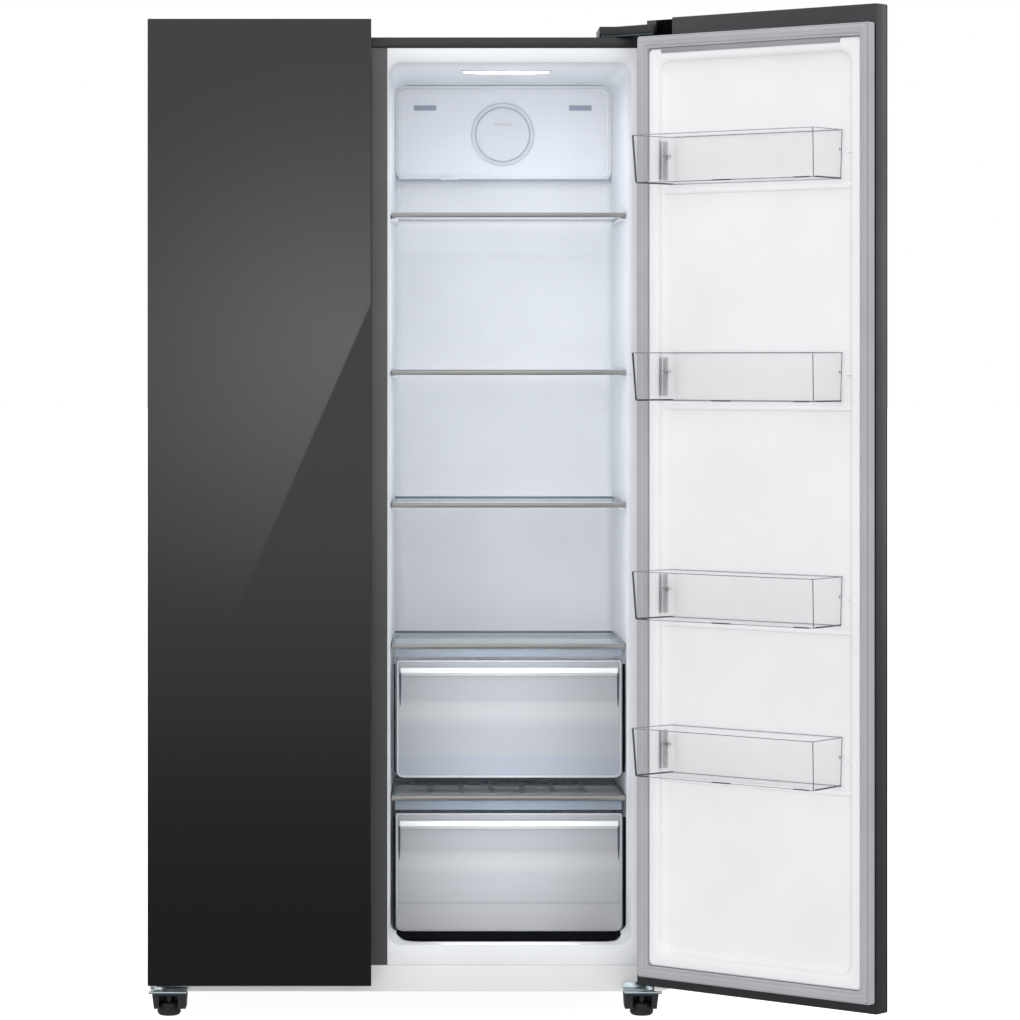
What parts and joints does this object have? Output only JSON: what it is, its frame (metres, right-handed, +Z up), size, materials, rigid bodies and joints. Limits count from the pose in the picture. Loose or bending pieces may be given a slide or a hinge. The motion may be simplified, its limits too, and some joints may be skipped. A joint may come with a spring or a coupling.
{
  "type": "side-by-side refrigerator",
  "caption": "Side-by-side refrigerator with glass-fronted doors, one swung open on its shelves, clear drawers and door bins.",
  "frame": {"origin": "middle of the floor area under the whole object as modelled, with the fridge door open", "axes": "+Z up, +X to the right of a person facing it, -Y towards that person"},
  "size_m": [1.2758, 1.104, 1.778],
  "materials": {
    "painted_steel": "satin dark grey paint",
    "black_glass": "glossy, opaque from behind",
    "white_liner": "satin moulded polystyrene",
    "door_liner": "satin moulded polystyrene",
    "white_plastic": "fine matt",
    "gasket": "soft matt vinyl",
    "black_plastic": "matt",
    "black_steel": "matt black paint",
    "zinc": "zinc plated",
    "galvanised": "spangled, dull",
    "foam": "rigid polyurethane",
    "shelf_glass": "clear tempered glass with a satin bar",
    "clear_plastic": "clear moulded polystyrene",
    "lamp_lens": "frosted lens",
    "badge": "smooth white plastic disc",
    "fins": "mill finish",
    "condenser": "black lacquer",
    "compressor": "black lacquer"
  },
  "bodies": {
    "cabinet": {"side_panel_left": "painted_steel", "side_panel_right": "painted_steel", "top_panel": "painted_steel", "rear_panel": "galvanised", "base_pan": "black_steel", "mullion_plate": "painted_steel", "base_cover": "white_plastic", "cabinet_foam": "foam", "fridge_liner": "white_liner", "freezer_liner": "white_liner", "top_hinge_left": "zinc", "top_hinge_right": "zinc", "hinge_cover_left": "black_plastic", "hinge_cover_right": "black_plastic", "bottom_hinge_left": "zinc", "bottom_hinge_right": "zinc", "compressor": "compressor", "condenser": "condenser", "evaporator": "fins", "machine_cover": "galvanised", "cord_gland": "black_plastic", "fridge_duct_panel": "white_liner", "duct_badge": "badge", "fridge_lamp": "lamp_lens", "freezer_duct_panel": "white_liner", "fridge_shelf_1": "shelf_glass", "fridge_shelf_2": "shelf_glass", "fridge_shelf_3": "shelf_glass", "fridge_shelf_4": "shelf_glass", "fridge_shelf_5": "shelf_glass", "freezer_shelf_1": "shelf_glass", "freezer_shelf_2": "shelf_glass", "freezer_shelf_3": "shelf_glass", "freezer_drawer_1": "clear_plastic", "freezer_drawer_2": "clear_plastic"},
    "fridge_door": {"fridge_door_case": "painted_steel", "fridge_door_glass": "black_glass", "fridge_door_foam": "foam", "fridge_door_liner": "door_liner", "fridge_door_gasket": "gasket"},
    "freezer_door": {"freezer_door_case": "painted_steel", "freezer_door_glass": "black_glass", "freezer_door_foam": "foam", "freezer_door_liner": "door_liner", "freezer_door_gasket": "gasket"},
    "fridge_bin_1": {"fridge_bin_1": "clear_plastic"},
    "fridge_bin_2": {"fridge_bin_2": "clear_plastic"},
    "fridge_bin_3": {"fridge_bin_3": "clear_plastic"},
    "fridge_bin_4": {"fridge_bin_4": "clear_plastic"},
    "freezer_bin_1": {"freezer_bin_1": "clear_plastic"},
    "freezer_bin_2": {"freezer_bin_2": "clear_plastic"},
    "freezer_bin_3": {"freezer_bin_3": "clear_plastic"},
    "crisper_drawer_1": {"crisper_drawer_1": "clear_plastic"},
    "crisper_drawer_2": {"crisper_drawer_2": "clear_plastic"},
    "condenser_fan": {"condenser_fan": "black_plastic"},
    "evaporator_fan": {"evaporator_fan": "black_plastic"},
    "roller_left": {"roller_left": "black_plastic"},
    "roller_right": {"roller_right": "black_plastic"},
    "foot_left": {"foot_left": "black_plastic"},
    "foot_right": {"foot_right": "black_plastic"}
  },
  "joints": [
    {"name": "fridge_door_hinge", "type": "hinge", "parent": "cabinet", "child": "fridge_door", "pos_m": [0.2551, -0.16404, 0], "axis": [0, 0, 1], "range_deg": [-138.8, 0]},
    {"name": "freezer_door_hinge", "type": "hinge", "parent": "cabinet", "child": "freezer_door", "pos_m": [-0.6179, -0.16404, 0], "axis": [0, 0, -1], "range_deg": [0, 138.8]},
    {"name": "crisper_drawer_1_slide", "type": "slide", "parent": "cabinet", "child": "crisper_drawer_1", "axis": [0, -1, 0], "range_m": [0, 0.26]},
    {"name": "crisper_drawer_2_slide", "type": "slide", "parent": "cabinet", "child": "crisper_drawer_2", "axis": [0, -1, 0], "range_m": [0, 0.2]},
    {"name": "fridge_bin_1_lift", "type": "slide", "parent": "fridge_door", "child": "fridge_bin_1", "axis": [0, 0, 1], "range_m": [0, 0.04]},
    {"name": "fridge_bin_2_lift", "type": "slide", "parent": "fridge_door", "child": "fridge_bin_2", "axis": [0, 0, 1], "range_m": [0, 0.04]},
    {"name": "fridge_bin_3_lift", "type": "slide", "parent": "fridge_door", "child": "fridge_bin_3", "axis": [0, 0, 1], "range_m": [0, 0.04]},
    {"name": "fridge_bin_4_lift", "type": "slide", "parent": "fridge_door", "child": "fridge_bin_4", "axis": [0, 0, 1], "range_m": [0, 0.04]},
    {"name": "freezer_bin_1_lift", "type": "slide", "parent": "freezer_door", "child": "freezer_bin_1", "axis": [0, 0, 1], "range_m": [0, 0.04]},
    {"name": "freezer_bin_2_lift", "type": "slide", "parent": "freezer_door", "child": "freezer_bin_2", "axis": [0, 0, 1], "range_m": [0, 0.04]},
    {"name": "freezer_bin_3_lift", "type": "slide", "parent": "freezer_door", "child": "freezer_bin_3", "axis": [0, 0, 1], "range_m": [0, 0.04]},
    {"name": "condenser_fan_spin", "type": "hinge", "parent": "cabinet", "child": "condenser_fan", "pos_m": [-0.2514, 0.46496, 0.15], "axis": [1, 0, 0], "continuous": true},
    {"name": "evaporator_fan_spin", "type": "hinge", "parent": "cabinet", "child": "evaporator_fan", "pos_m": [-0.4284, 0.41696, 0.76], "axis": [0, 1, 0], "continuous": true},
    {"name": "roller_left_spin", "type": "hinge", "parent": "cabinet", "child": "roller_left", "pos_m": [-0.5814, 0.50696, 0.02], "axis": [1, 0, 0], "continuous": true},
    {"name": "foot_left_turn", "type": "hinge", "parent": "cabinet", "child": "foot_left", "pos_m": [-0.6049, -0.09104, 0.02], "axis": [0, 0, 1], "continuous": true},
    {"name": "roller_right_spin", "type": "hinge", "parent": "cabinet", "child": "roller_right", "pos_m": [0.2186, 0.50696, 0.02], "axis": [1, 0, 0], "continuous": true},
    {"name": "foot_right_turn", "type": "hinge", "parent": "cabinet", "child": "foot_right", "pos_m": [0.2421, -0.09104, 0.02], "axis": [0, 0, 1], "continuous": true}
  ]
}
